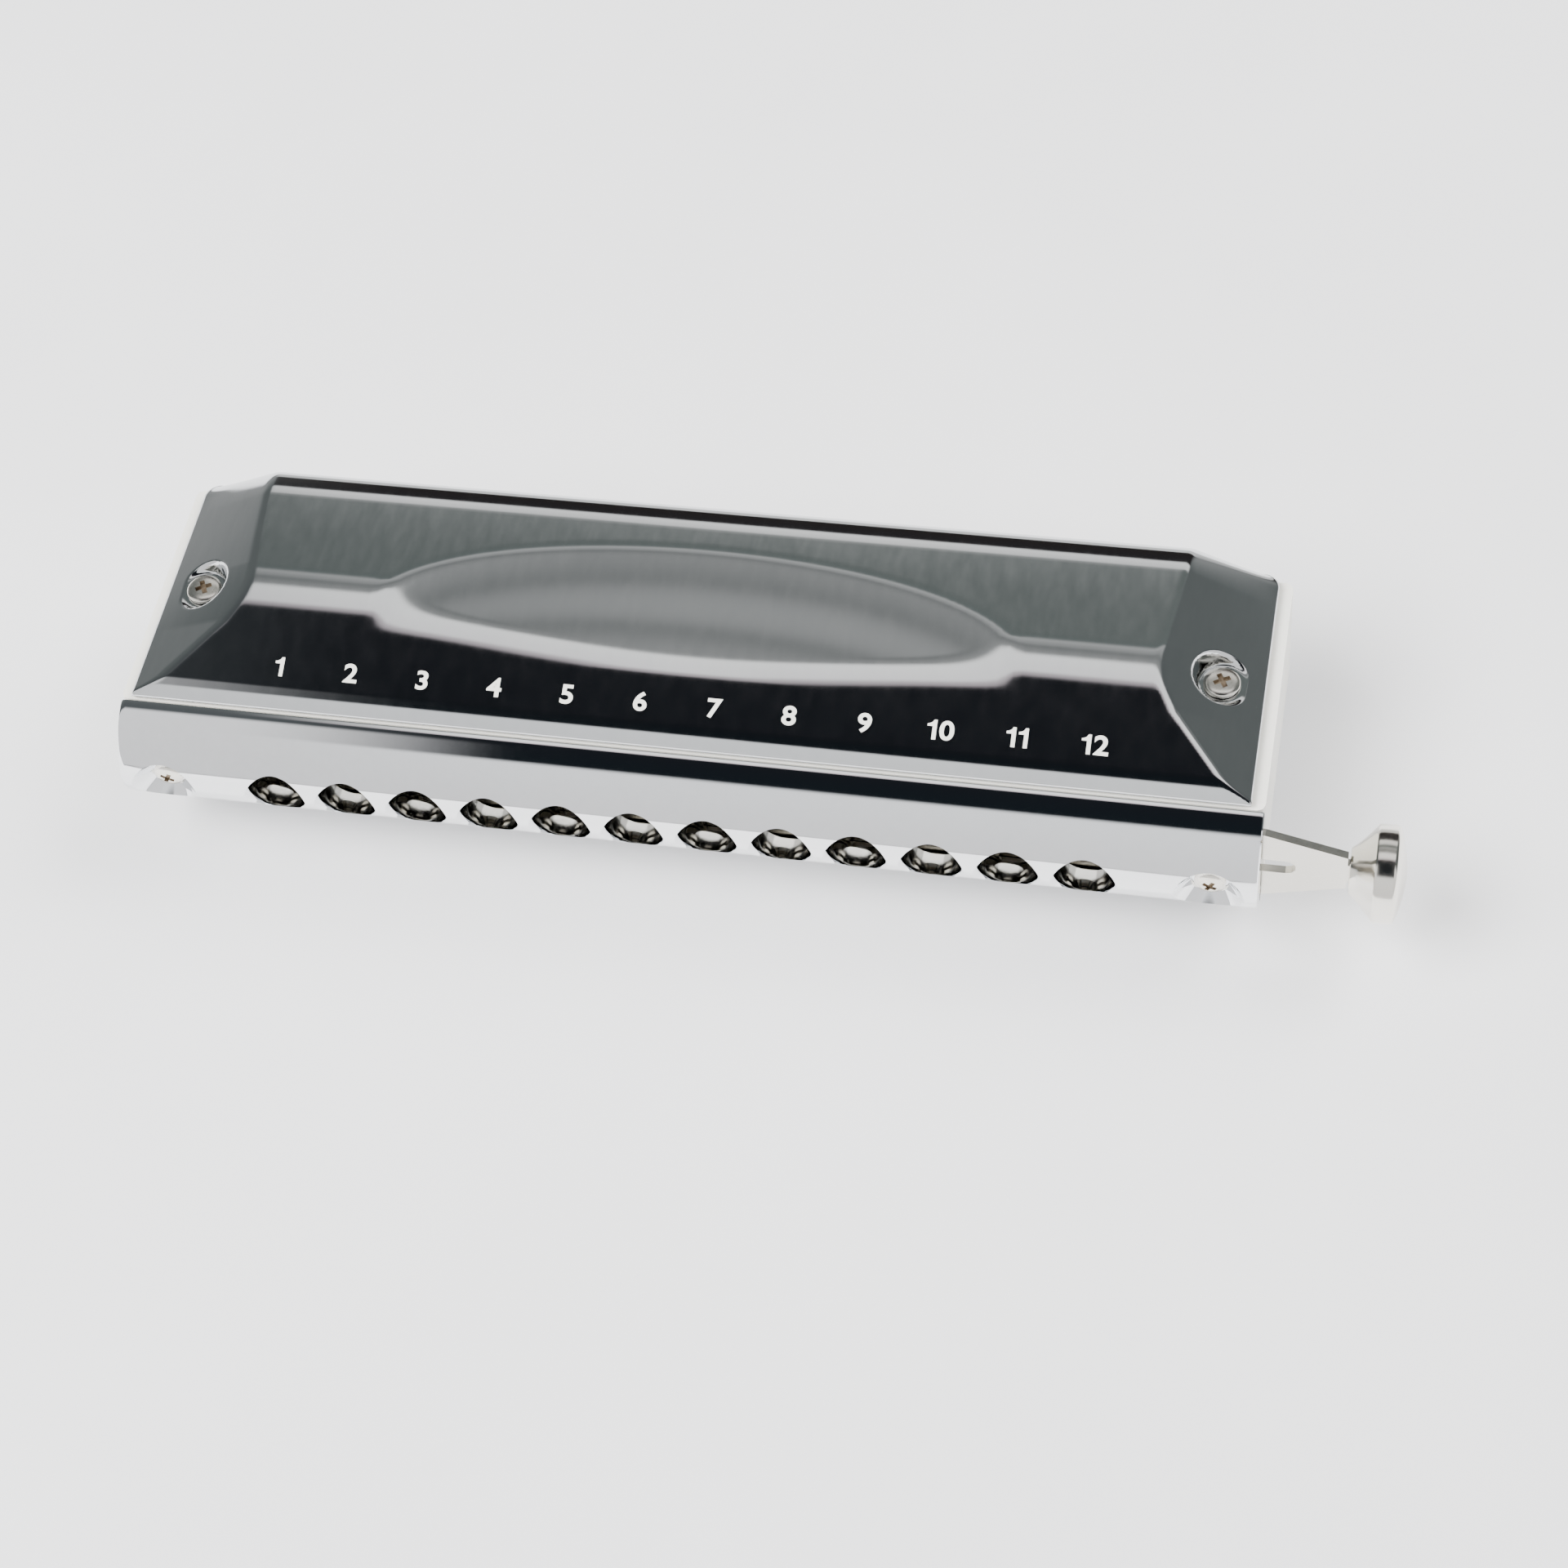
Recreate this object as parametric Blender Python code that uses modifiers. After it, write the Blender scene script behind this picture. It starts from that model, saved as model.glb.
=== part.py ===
"""Twelve-hole slide (chromatic) harmonica, modelled piece by piece at real size.

Frame: +X along the instrument towards the slide button, +Y away from the player,
+Z up. The instrument lies on the flat back of its lower cover. The world origin is
the bottom centre of its box. Sizes below are in millimetres in the frame of the
mouthpiece: X = 0 midway between holes 6 and 7, Y = 0 at the back of the mouthpiece
and Z = 0 at the middle plane of the holes.
"""
import math

import bmesh
import bpy
from mathutils import Matrix, Vector

MM = 0.001

# ---------------------------------------------------------------- dimensions, mm
HOLES = 12
PITCH = 9.2                 # distance between neighbouring blow holes
BORE_R = 3.3                # blow hole
BORE_RIM_R = 4.0            # eased lip of the blow hole
TRAVEL = 4.6                # slide travel, half a pitch

MOUTH_HALF_LEN = 71.0
MOUTH_DEPTH = 7.27          # nose of the mouthpiece in front of its back plane
MOUTH_HALF_H = 8.25
MOUTH_POWER = 1.5           # exponent of the nose profile
CHANNEL_DEPTH = 3.05        # pocket in the back of the mouthpiece for the slide
CHANNEL_HALF_H = 6.65
MOUTH_SCREW_X = 65.3
DISH_R = 3.75

SLIDE_FRONT_Y = -1.95
SLIDE_BACK_Y = -0.95
SLIDE_HALF_H = 6.3
SLIDE_TIP_HALF_H = 3.2
SLIDE_TAPER_X = 71.3
SLIDE_TIP_X = 81.0
SLIDE_LEFT_X = -65.6
WINDOW_W = 3.9
WINDOW_LO, WINDOW_HI = 1.0, 5.6     # height range of a window, from the middle plane

BUTTON_Y = -1.45
BUTTON_R = 5.9
BUTTON_END_X = 87.9

COMB_HALF_LEN = 71.0
COMB_FRONT_Y, COMB_BACK_Y = 0.25, 33.9
COMB_HALF_H = 8.15
SEAT_Z = 6.5                # floor of the seat for a reed plate
SEPTUM = 0.6                # half thickness of the wall between the chamber rows
CHAMBER_HALF_W = 3.8

PLATE_LO, PLATE_HI = 6.75, 7.75
PLATE_HALF_LEN = 61.1
PLATE_FRONT_Y, PLATE_BACK_Y = 2.5, 32.3
SLOT_DX = 2.1               # reed slots sit this far either side of the hole's centre
SLOT_W = 2.0
SLOT_FRONT_Y = 7.5
SLOT_LONG, SLOT_SHORT = 17.0, 9.0   # slot length at hole 1 and at hole 12
PLATE_SCREWS = ((-58.6, 4.8), (58.6, 4.8), (-57.2, 30.2), (0.0, 30.2), (57.2, 30.2))

COVER_HALF_LEN = 69.4
COVER_FRONT_Y = 0.25
COVER_T = 0.45              # sheet thickness
COVER_TOP_Z = 15.0          # flat back of the cover
COVER_END_Z = 9.15          # outer surface at the two ends
COVER_SCREW_X, COVER_SCREW_Y = 64.2, 16.3
RECESS_R, RECESS_Z = 3.12, 10.2
ROLL_Y, ROLL_A, ROLL_B = 29.2, 5.0, 2.4   # rolled rear edge: start, run and drop

# Bottom centre of the box around the whole instrument.
BOX_X = (-MOUTH_HALF_LEN + BUTTON_END_X) / 2
BOX_Y = (-MOUTH_DEPTH + ROLL_Y + ROLL_A) / 2
ORIGIN = Vector((-BOX_X, -BOX_Y, COVER_TOP_Z)) * MM


# ---------------------------------------------------------------- scene set-up
for old in list(bpy.data.objects):
    bpy.data.objects.remove(old, do_unlink=True)


def collection(name):
    made = bpy.data.collections.new(name)
    bpy.context.scene.collection.children.link(made)
    return made


PARTS = collection("chromatic_harmonica")
CUTTERS = collection("cutters")
CUTTERS.hide_render = True


def empty(name, at, parent=None):
    made = bpy.data.objects.new(name, None)
    made.location = Vector(at)
    made.parent = parent
    PARTS.objects.link(made)
    return made


HARP = empty("harmonica_frame", ORIGIN)
SLIDER = empty("slide_axis", (0, BUTTON_Y * MM, 0), HARP)


def material(name, colour, rough, metal):
    made = bpy.data.materials.new(name)
    made.use_nodes = True
    shader = made.node_tree.nodes["Principled BSDF"]
    shader.inputs["Base Color"].default_value = (*colour, 1)
    shader.inputs["Roughness"].default_value = rough
    shader.inputs["Metallic"].default_value = metal
    made.diffuse_color = (*colour, 1)
    return made


CHROME = material("mouthpiece_chrome", (0.86, 0.87, 0.88), 0.05, 1.0)
BLACK_NICKEL = material("cover_black_nickel", (0.42, 0.43, 0.44), 0.06, 1.0)
NICKEL = material("slide_nickel", (0.72, 0.69, 0.63), 0.2, 1.0)
SCREW_NICKEL = material("screw_nickel", (0.80, 0.77, 0.70), 0.25, 1.0)
CREAM = material("comb_cream", (0.86, 0.84, 0.78), 0.45, 0.0)
BRASS = material("plate_brass", (0.75, 0.58, 0.30), 0.3, 1.0)
REED = material("reed_brass", (0.82, 0.66, 0.36), 0.25, 1.0)
SPRING = material("spring_steel", (0.55, 0.55, 0.56), 0.3, 1.0)


# ---------------------------------------------------------------- solid helpers
def place(name, bm, mat, coll=PARTS, parent=HARP, smooth=None):
    """Turns a mesh drawn in millimetres into an object in metres."""
    bmesh.ops.scale(bm, vec=(MM, MM, MM), verts=bm.verts)
    if parent is SLIDER:
        bmesh.ops.translate(bm, vec=(0, -BUTTON_Y * MM, 0), verts=bm.verts)
    bmesh.ops.recalc_face_normals(bm, faces=bm.faces)
    mesh = bpy.data.meshes.new(name)
    bm.to_mesh(mesh)
    bm.free()
    if smooth:
        mesh.shade_smooth()
        mesh.set_sharp_from_angle(angle=math.radians(smooth))
    made = bpy.data.objects.new(name, mesh)
    made.parent = parent
    coll.objects.link(made)
    if mat:
        mesh.materials.append(mat)
    return made


def cutter(name, bm, parent=HARP):
    made = place(name, bm, None, CUTTERS, parent)
    made.hide_render = True
    made.display_type = "WIRE"
    return made


def cut(target, tool, operation="DIFFERENCE"):
    mod = target.modifiers.new(tool.name, "BOOLEAN")
    mod.operation = operation
    mod.solver = "EXACT"
    mod.object = tool


def add_box(bm, x, y, z):
    """A box between the two given ends along each axis."""
    size = Vector((x[1] - x[0], y[1] - y[0], z[1] - z[0]))
    mid = Vector((x[1] + x[0], y[1] + y[0], z[1] + z[0])) / 2
    bmesh.ops.create_cube(bm, size=1, matrix=Matrix.Translation(mid) @ Matrix.Diagonal((*size, 1)))


def add_rod(bm, at, axis, r1, r2, length, sides=12):
    """A cylinder or cone that starts at a point and runs along +X, +Y or +Z."""
    turn = {"X": Matrix.Rotation(math.pi / 2, 4, "Y"), "Y": Matrix.Rotation(-math.pi / 2, 4, "X"), "Z": Matrix()}[axis]
    spin = Matrix.Rotation(math.pi / sides, 4, "Z")
    bmesh.ops.create_cone(
        bm, cap_ends=True, segments=sides, radius1=r1, radius2=r2, depth=length,
        matrix=Matrix.Translation(at) @ turn @ Matrix.Translation((0, 0, length / 2)) @ spin,
    )


def turned(name, points, axis, at, sides, mat, parent=HARP):
    """A solid turned about a line along X, Y or Z from (distance along, radius) points."""
    bm = bmesh.new()
    line = [bm.verts.new((r, 0, s)) for s, r in points]
    for a, b in zip(line, line[1:]):
        bm.edges.new((a, b))
    bmesh.ops.spin(
        bm, geom=bm.verts[:] + bm.edges[:], cent=(0, 0, 0), axis=(0, 0, 1),
        angle=2 * math.pi, steps=sides, use_merge=True, use_duplicate=False,
    )
    bmesh.ops.remove_doubles(bm, verts=bm.verts, dist=0.0001)
    turn = {"X": Matrix.Rotation(math.pi / 2, 4, "Y"), "Y": Matrix.Rotation(-math.pi / 2, 4, "X"), "Z": Matrix()}[axis]
    bmesh.ops.transform(bm, matrix=Matrix.Translation(at) @ turn, verts=bm.verts)
    if name is None:
        return bm
    return place(name, bm, mat, parent=parent, smooth=35)


def merge(into, other):
    """Adds one mesh to another as a separate body."""
    mesh = bpy.data.meshes.new("part")
    other.to_mesh(mesh)
    other.free()
    into.from_mesh(mesh)
    bpy.data.meshes.remove(mesh)


def outline(name, points, y0, y1, mat, parent=HARP):
    """A flat plate: a closed outline in XZ, thickened along Y."""
    bm = bmesh.new()
    face = bm.faces.new([bm.verts.new((x, y0, z)) for x, z in points])
    made = bmesh.ops.extrude_face_region(bm, geom=[face])
    moved = [v for v in made["geom"] if isinstance(v, bmesh.types.BMVert)]
    bmesh.ops.translate(bm, vec=(0, y1 - y0, 0), verts=moved)
    return place(name, bm, mat, parent=parent)


def hole_x(index):
    return (index - (HOLES - 1) / 2) * PITCH


def slot_length(index):
    return SLOT_LONG + (SLOT_SHORT - SLOT_LONG) * index / (HOLES - 1)


def chamber_back(index):
    return SLOT_FRONT_Y + slot_length(index) + 3.6


# ---------------------------------------------------------------- comb
bm = bmesh.new()
add_box(bm, (-COMB_HALF_LEN, COMB_HALF_LEN), (COMB_FRONT_Y, COMB_BACK_Y), (-COMB_HALF_H, COMB_HALF_H))
bmesh.ops.bevel(bm, geom=[e for e in bm.edges if abs((e.verts[0].co - e.verts[1].co).z) > 1], offset=0.9, segments=2, affect="EDGES", profile=0.5)
comb = place("comb", bm, CREAM)

bm = bmesh.new()
for side in (1, -1):
    z = sorted((side * SEAT_Z, side * 9))
    add_box(bm, (-PLATE_HALF_LEN - 0.3, PLATE_HALF_LEN + 0.3), (PLATE_FRONT_Y - 0.3, PLATE_BACK_Y + 0.3), z)
cut(comb, cutter("plate_seats", bm))

bm = bmesh.new()
for i in range(HOLES):
    for side in (1, -1):
        x = hole_x(i)
        add_box(bm, (x - CHAMBER_HALF_W, x + CHAMBER_HALF_W), (-1, chamber_back(i)), sorted((side * SEPTUM, side * (SEAT_Z + 0.1))))
cut(comb, cutter("chambers", bm))

bm = bmesh.new()
for s in (1, -1):
    add_rod(bm, (s * COVER_SCREW_X, COVER_SCREW_Y, -10), "Z", 1.25, 1.25, 20, 12)
    add_rod(bm, (s * MOUTH_SCREW_X, -1, 0), "Y", 1.2, 1.2, 9.4, 10)
    for x, y in PLATE_SCREWS:
        add_rod(bm, (x, y, min(s * 3.0, s * 7.2)), "Z", 0.9, 0.9, 4.2, 8)
cut(comb, cutter("comb_holes", bm))

# Pocket in the comb's right end for the slide spring.
SPRING_X0, SPRING_X1 = 58.6, 69.6
bm = bmesh.new()
add_box(bm, (SPRING_X0, SPRING_X1), (-1, 4.1), (-5.9, 5.9))
cut(comb, cutter("spring_pocket", bm))


# ---------------------------------------------------------------- mouthpiece
def nose(z):
    return -MOUTH_DEPTH * (1 - (abs(z) / MOUTH_HALF_H) ** MOUTH_POWER) ** (1 / MOUTH_POWER)


NOSE_STEPS = 9
half = [MOUTH_HALF_H * (1 - (1 - i / NOSE_STEPS) ** 1.6) for i in range(NOSE_STEPS + 1)]
heights = [-z for z in reversed(half[1:])] + half
bm = bmesh.new()
for x in (-MOUTH_HALF_LEN, MOUTH_HALF_LEN):
    bm.faces.new([bm.verts.new((x, nose(z), z)) for z in heights])
bmesh.ops.bridge_loops(bm, edges=bm.edges[:])
mouthpiece = place("mouthpiece", bm, CHROME, smooth=30)

bm = bmesh.new()
add_box(bm, (-MOUTH_HALF_LEN + 1.0, MOUTH_HALF_LEN + 2), (-CHANNEL_DEPTH, 2), (-CHANNEL_HALF_H, CHANNEL_HALF_H))
cut(mouthpiece, cutter("slide_channel", bm))

bm = bmesh.new()
for i in range(HOLES):
    merge(bm, turned(None, [(0, 0), (0, BORE_RIM_R + 0.35), (1.95, BORE_R), (7, BORE_R), (7, 0)], "Y", (hole_x(i), -8.2, 0), 16, None))
cut(mouthpiece, cutter("blow_holes", bm))

bm = bmesh.new()
for s in (1, -1):
    merge(bm, turned(None, [(0, 0), (0, DISH_R + 1.0), (1.3, DISH_R - 0.35), (2.4, 2.75), (3.2, 2.2), (3.2, 1.2), (7, 1.2), (7, 0)], "Y", (s * MOUTH_SCREW_X, -7.75, 0), 16, None))
cut(mouthpiece, cutter("screw_dishes", bm))


# ---------------------------------------------------------------- slide assembly
def flat_plate(name, x, y, half_h, windows, mat):
    bm = bmesh.new()
    add_box(bm, x, y, (-half_h, half_h))
    made = place(name, bm, mat)
    cut(made, windows)
    return made


bm = bmesh.new()
for i in range(HOLES):
    add_box(bm, (hole_x(i) - 3.6, hole_x(i) + 3.6), (-4, 0), (-4.4, 4.4))
for s in (1, -1):
    add_rod(bm, (s * MOUTH_SCREW_X, -4, 0), "Y", 1.25, 1.25, 4, 10)
flat_plate("slide_front_plate", (-69.7, 70.7), (-2.75, -2.25), 6.35, cutter("front_windows", bm), NICKEL)

bm = bmesh.new()
for i in range(HOLES):
    for side in (1, -1):
        add_box(bm, (hole_x(i) - 1.9, hole_x(i) + 1.9), (-2, 1), sorted((side * 0.8, side * 5.8)))
add_rod(bm, (-MOUTH_SCREW_X, -2, 0), "Y", 1.25, 1.25, 4, 10)
add_box(bm, (59.6, 68.6), (-2, 1), (-5.4, 5.4))
flat_plate("slide_back_plate", (-69.7, 70.7), (-0.65, -0.05), 6.35, cutter("back_windows", bm), NICKEL)

# The slide: a flat strip that tapers to a tang inside the button. Its left end is a
# fork around the left screw, and a long slot clears the right screw.
tang = 1.7
profile = [
    (SLIDE_LEFT_X, -SLIDE_HALF_H), (SLIDE_TAPER_X, -SLIDE_HALF_H), (SLIDE_TIP_X, -SLIDE_TIP_HALF_H),
    (SLIDE_TIP_X, -tang), (84.3, -tang), (84.3, tang), (SLIDE_TIP_X, tang),
    (SLIDE_TIP_X, SLIDE_TIP_HALF_H), (SLIDE_TAPER_X, SLIDE_HALF_H), (SLIDE_LEFT_X, SLIDE_HALF_H),
]
slide = outline("slide", profile, SLIDE_FRONT_Y, SLIDE_BACK_Y, NICKEL, SLIDER)
bm = bmesh.new()
for i in range(HOLES):
    for row in (1, -1):
        # At rest odd-numbered holes are open below the middle and even ones above it.
        # Pressed in by half a pitch, each hole opens to its other row.
        resting = row == (-1 if i % 2 == 0 else 1)
        x = hole_x(i) + (0 if resting else TRAVEL)
        add_box(bm, (x - WINDOW_W / 2, x + WINDOW_W / 2), (-4, 2), sorted((row * WINDOW_LO, row * WINDOW_HI)))
cut(slide, cutter("slide_windows", bm, SLIDER))


def slot_outline(bm, x0, x1, r, steps=5):
    """A slot along X with round ends, cut right through the slide."""
    ring = [(x1 + r * math.cos(a), r * math.sin(a)) for a in (math.pi * (k / steps - 0.5) for k in range(steps + 1))]
    ring += [(x0 - r * math.cos(a), -r * math.sin(a)) for a in (math.pi * (k / steps - 0.5) for k in range(steps + 1))]
    face = bm.faces.new([bm.verts.new((x, -4, z)) for x, z in ring])
    made = bmesh.ops.extrude_face_region(bm, geom=[face])
    bmesh.ops.translate(bm, vec=(0, 6, 0), verts=[v for v in made["geom"] if isinstance(v, bmesh.types.BMVert)])


bm = bmesh.new()
slot_outline(bm, MOUTH_SCREW_X, 73.8, 1.25)
slot_outline(bm, -69, -59.4, 1.25)
add_rod(bm, (66.6, -4, 4.2), "Y", 0.6, 0.6, 6, 8)       # hook hole for the spring
add_rod(bm, (82.6, -4, 0), "Y", 0.8, 0.8, 6, 8)         # pin hole in the tang
cut(slide, cutter("slide_slots", bm, SLIDER))

# ---------------------------------------------------------------- button
button = turned(
    "button",
    [(81.25, 0), (81.25, 2.75), (81.75, 3.1), (83.6, 5.15), (84.0, 5.6), (84.4, BUTTON_R), (86.5, BUTTON_R), (86.85, 5.55), (87.45, 3.6), (87.8, 1.8), (BUTTON_END_X, 0)],
    "X", (0, BUTTON_Y, 0), 24, NICKEL, SLIDER,
)
bm = bmesh.new()
add_box(bm, (80.5, 84.6), (SLIDE_FRONT_Y - 0.25, SLIDE_BACK_Y + 0.25), (-tang - 0.3, tang + 0.3))
add_rod(bm, (82.6, BUTTON_Y - 6, 0), "Y", 0.8, 0.8, 12, 8)
cut(button, cutter("tang_slot", bm, SLIDER))
bm = bmesh.new()
add_rod(bm, (82.6, BUTTON_Y - 3.4, 0), "Y", 0.52, 0.52, 6.8, 8)
place("button_pin", bm, SPRING, parent=SLIDER, smooth=35)

# ---------------------------------------------------------------- slide spring
# A wire spring wound about the comb's spring pocket. One leg is held in the comb and
# the other is hooked through the slide.
COIL_AT = Vector((63.4, 2.1, -3.5))
COIL_R, WIRE_R, TURNS = 1.6, 0.25, 2.5
points = [Vector((59.6, 3.1, -5.3)), Vector((61.2, 3.1, -5.25))]
steps = int(TURNS * 10)
for k in range(steps + 1):
    a = math.radians(-90) + 2 * math.pi * TURNS * k / steps
    points.append(Vector((COIL_AT.x + COIL_R * math.cos(a), 3.1 - 0.75 * 2 * k / steps  , COIL_AT.z + COIL_R * math.sin(a))))
points += [Vector((66.0, 1.6, -2.1)), Vector((67.0, 1.6, -1.2)), Vector((67.4, 1.5, 0.8)), Vector((67.0, 1.3, 3.2)), Vector((66.6, 0.8, 4.2)), Vector((66.6, -1.3, 4.2))]
curve = bpy.data.curves.new("slide_spring", "CURVE")
curve.dimensions = "3D"
curve.bevel_depth = WIRE_R * MM
curve.bevel_resolution = 1
curve.use_fill_caps = True
spline = curve.splines.new("POLY")
spline.points.add(len(points) - 1)
for point, co in zip(spline.points, points):
    point.co = (*(co * MM), 1)
curve.materials.append(SPRING)
spring = bpy.data.objects.new("slide_spring", curve)
spring.parent = HARP
PARTS.objects.link(spring)

# ---------------------------------------------------------------- reed plates, reeds and valves
def reed_side(word, side):
    """One reed plate with everything on it. side is +1 for the upper plate, -1 below."""
    def zs(a, b):
        return sorted((side * a, side * b))

    bm = bmesh.new()
    add_box(bm, (-PLATE_HALF_LEN, PLATE_HALF_LEN), (PLATE_FRONT_Y, PLATE_BACK_Y), zs(PLATE_LO, PLATE_HI))
    plate = place(word + "_reed_plate", bm, BRASS)
    bm = bmesh.new()
    for i in range(HOLES):
        for dx in (-SLOT_DX, SLOT_DX):
            x = hole_x(i) + dx
            add_box(bm, (x - SLOT_W / 2, x + SLOT_W / 2), (SLOT_FRONT_Y, SLOT_FRONT_Y + slot_length(i)), zs(6, 9))
    for x, y in PLATE_SCREWS:
        add_rod(bm, (x, y, min(zs(6, 9))), "Z", 0.9, 0.9, 3, 8)
    cut(plate, cutter(word + "_slots", bm))

    for i in range(HOLES):
        x, back = hole_x(i) + SLOT_DX, SLOT_FRONT_Y + slot_length(i)
        # A reed: a thick riveted foot in front of its slot and a thin tongue over it.
        low, foot, tongue = side * (PLATE_HI + 0.12), side * (PLATE_HI + 0.9), side * (PLATE_HI + 0.36)
        bm = bmesh.new()
        face = bm.faces.new([bm.verts.new((x - 0.9, y, z)) for y, z in ((4.4, low), (back - 0.3, low), (back - 0.3, tongue), (7.2, tongue), (6.8, foot), (4.9, foot), (4.4, tongue))])
        made = bmesh.ops.extrude_face_region(bm, geom=[face])
        bmesh.ops.translate(bm, vec=(1.8, 0, 0), verts=[v for v in made["geom"] if isinstance(v, bmesh.types.BMVert)])
        place(f"{word}_reed_{i + 1:02d}", bm, REED)
    for n, (x, y) in enumerate(PLATE_SCREWS):
        head, neck = PLATE_HI + 0.12, PLATE_HI + 0.62
        turned(f"{word}_plate_screw_{n + 1}", [(side * 3.6, 0), (side * 3.6, 0.55), (side * head, 0.55), (side * head, 1.35), (side * neck, 1.15), (side * neck, 0)], "Z", (x, y, 0), 8, SCREW_NICKEL)


reed_side("upper", 1)
reed_side("lower", -1)


# ---------------------------------------------------------------- covers
def soft_min(a, b, k):
    """The lower of two heights, blended over a band where they are closer than k."""
    h = max(0.0, min(1.0, 0.5 + 0.5 * (b - a) / k))
    return b * (1 - h) + a * h - k * h * (1 - h)


def clamp(value, low, high):
    return max(low, min(high, value))


def rest_height(x, y):
    """The thumb rest: a shallow facet with an oval rim, tilted towards the player."""
    side = clamp(1 - (x / 40.0) ** 2, 0, 1)
    rim = 13.5 + 12.3 * math.sqrt(side)
    u = (rim - y) / 16.3
    return COVER_TOP_Z - 1.9 * (u + 0.045 * math.sin(2 * math.pi * clamp(u, 0, 1)))


def ramp_height(x, y):
    slope = 0.40 + 0.010 * (clamp(y, 10, 18) - 10) + 0.0055 * (clamp(y, 18, 30) - 18)
    return COVER_END_Z + slope * (COVER_HALF_LEN - abs(x))


def cover_height(x, y, recess=True):
    front = soft_min(8.8 + 1.03 * (y - COVER_FRONT_Y), 10.4 + 0.356 * (y - 1.9), 0.6)
    mid = clamp(1 - (x / 40.0) ** 2, 0, 1)
    top = soft_min(COVER_TOP_Z, rest_height(x, y), 0.12) if mid > 0 else COVER_TOP_Z
    z = soft_min(front, top, 1.1 - 0.75 * math.sqrt(mid))
    z = soft_min(z, ramp_height(x, y), 0.3)
    if recess and math.hypot(abs(x) - COVER_SCREW_X, y - COVER_SCREW_Y) < RECESS_R:
        z = min(z, RECESS_Z)
    return z


def cover_point(x, row):
    """A point of the outer surface. row is ('y', Y), or ('roll', angle) on the rear edge."""
    kind, value = row
    if kind == "y":
        y, z = value, cover_height(x, value)
    else:
        angle = min(value, 90)
        top = cover_height(x, ROLL_Y)
        scale = clamp((top - COVER_END_Z) / (COVER_TOP_Z - COVER_END_Z), 0, 1) ** 0.7
        y = ROLL_Y + ROLL_A * math.sin(math.radians(angle))
        z = top - ROLL_B * scale * (1 - math.cos(math.radians(angle))) - (0.25 + 0.55 * scale if value > 90 else 0)
    # Rounded rear corners in plan.
    if abs(x) > 60 and y > 32.2:
        pull = 2.0 - math.sqrt(max(0.0, 4.0 - min(y - 32.2, 2.0) ** 2))
        x = math.copysign(60 + (abs(x) - 60) * (COVER_HALF_LEN - 60 - pull) / (COVER_HALF_LEN - 60), x)
    return Vector((x, y, z))


RECESS_STEPS = (-3.95, -3.12, -2.2, -1.2, 0, 1.2, 2.2, 3.12, 3.95)
COLS = sorted({0.0, 8.0, 16.0, 24.0, 31.0, 37.0, 42.0, 50.0, 56.4, 57.6, 58.9, COVER_HALF_LEN} | {COVER_SCREW_X + d for d in RECESS_STEPS})
COLS = [-x for x in reversed(COLS[1:])] + COLS
ROWS = [("y", COVER_FRONT_Y), ("y", 1.1), ("y", 2.1), ("y", 6.0), ("y", 9.4), ("y", 11.0)]
ROWS += [("y", COVER_SCREW_Y + d) for d in RECESS_STEPS]
ROWS += [("y", 22.4), ("y", 25.2), ("y", ROLL_Y)]
ROWS += [("roll", a) for a in (22, 42, 60, 76, 90, 99)]


def cover(name, side):
    bm = bmesh.new()
    bmesh.ops.create_grid(bm, x_segments=len(COLS) - 1, y_segments=len(ROWS) - 1, size=1)
    # The grid runs from -1 to 1 both ways: its points are moved to the pressed shape.
    for v in bm.verts:
        i = round((v.co.x + 1) / 2 * (len(COLS) - 1))
        j = round((v.co.y + 1) / 2 * (len(ROWS) - 1))
        p = cover_point(COLS[i], ROWS[j])
        v.co = (p.x, p.y, side * p.z)
    bmesh.ops.scale(bm, vec=(MM, MM, MM), verts=bm.verts)
    if side < 0:
        bmesh.ops.reverse_faces(bm, faces=bm.faces)
    mesh = bpy.data.meshes.new(name)
    bm.to_mesh(mesh)
    bm.free()
    mesh.shade_smooth()
    mesh.materials.append(BLACK_NICKEL)
    made = bpy.data.objects.new(name, mesh)
    made.parent = HARP
    PARTS.objects.link(made)
    shell = made.modifiers.new("sheet", "SOLIDIFY")
    shell.thickness = COVER_T * MM
    shell.offset = -1
    bm = bmesh.new()
    for s in (1, -1):
        add_rod(bm, (s * COVER_SCREW_X, COVER_SCREW_Y, min(side * 8, side * 12)), "Z", 1.25, 1.25, 4, 12)
    cut(made, cutter(name + "_holes", bm))
    return made


cover("upper_cover", 1)
cover("lower_cover", -1)


# ---------------------------------------------------------------- fasteners
def cross_cutters(name, at, axis, r, depth):
    """Two crossing bars for the four-way driver recess of one screw head."""
    x, y, z = at
    thin = r * 0.32
    made = []
    for tag, a, b in (("a", r, thin), ("b", thin, r)):
        bm = bmesh.new()
        if axis == "Z":
            add_box(bm, (x - a, x + a), (y - b, y + b), (z - depth, z + 2))
        else:
            add_box(bm, (x - a, x + a), (y - 2, y + depth), (z - b, z + b))
        made.append(cutter(f"{name}_cross_{tag}", bm))
    return made


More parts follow.
